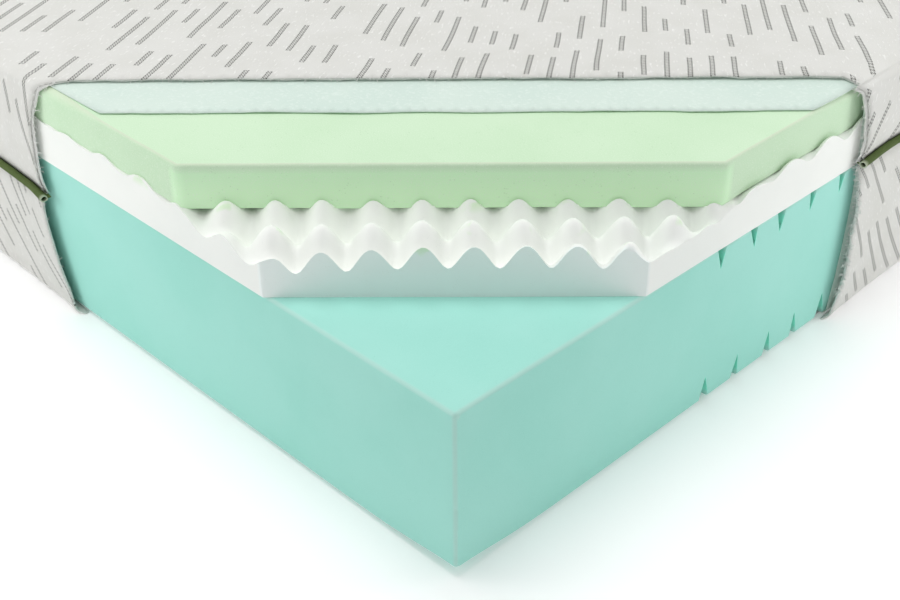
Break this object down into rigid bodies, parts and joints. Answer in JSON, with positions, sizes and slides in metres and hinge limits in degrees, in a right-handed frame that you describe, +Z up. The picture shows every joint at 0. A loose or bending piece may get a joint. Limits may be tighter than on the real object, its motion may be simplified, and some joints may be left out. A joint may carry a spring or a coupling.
{
  "type": "memory foam mattress",
  "caption": "Layered foam mattress with an opened corner: slotted base, convoluted and memory foam layers, knitted zip cover with piping.",
  "frame": {"origin": "centre of the underside, on the surface the mattress lies on", "axes": "+X towards the right-hand long side, +Y towards the head end with the zip, +Z up through the sleeping surface; the opened corner is at +X, -Y"},
  "size_m": [1.539, 2.047, 0.305],
  "materials": {
    "base_foam": "pale teal open-cell foam",
    "convoluted_foam": "white convoluted foam",
    "memory_foam": "pale green memory foam",
    "sock": "pale blue-grey non-woven",
    "knit": "off-white knit with grey dashes",
    "wadding": "white polyester wadding",
    "bottom_cloth": "off-white knit",
    "piping": "olive green knitted tube",
    "cord": "white filler cord",
    "zip_tape": "off-white woven tape",
    "zip_teeth": "moulded nylon",
    "zip_metal": "nickel plated"
  },
  "bodies": {
    "mattress": {"base_core": "base_foam", "convoluted_layer": "convoluted_foam", "memory_foam_layer": "memory_foam", "fire_barrier_sock": "sock", "cover_top_knit": "knit", "cover_top_wadding": "wadding", "bottom_panel": "bottom_cloth", "border_foot": "knit", "border_right": "knit", "border_left": "knit", "border_head_upper": "knit", "border_head_lower": "knit", "zip_end_left": "knit", "zip_end_right": "knit", "piping_sleeve": "piping", "piping_cord": "cord", "zip_tape_upper": "zip_tape", "zip_tape_lower": "zip_tape", "zip_teeth_upper": "zip_teeth", "zip_teeth_lower": "zip_teeth", "zip_stop_open": "zip_metal", "zip_stop_closed": "zip_metal"},
    "slider": {"zip_slider": "zip_metal"},
    "pull": {"zip_pull": "zip_metal"}
  },
  "joints": [
    {"name": "zip_slide", "type": "slide", "parent": "mattress", "child": "slider", "axis": [-1, 0, 0], "range_m": [0, 1.2762]},
    {"name": "pull_hinge", "type": "hinge", "parent": "slider", "child": "pull", "pos_m": [0.6381, 1.0207, 0.03], "axis": [0, 0, -1], "range_deg": [0, 180]}
  ]
}
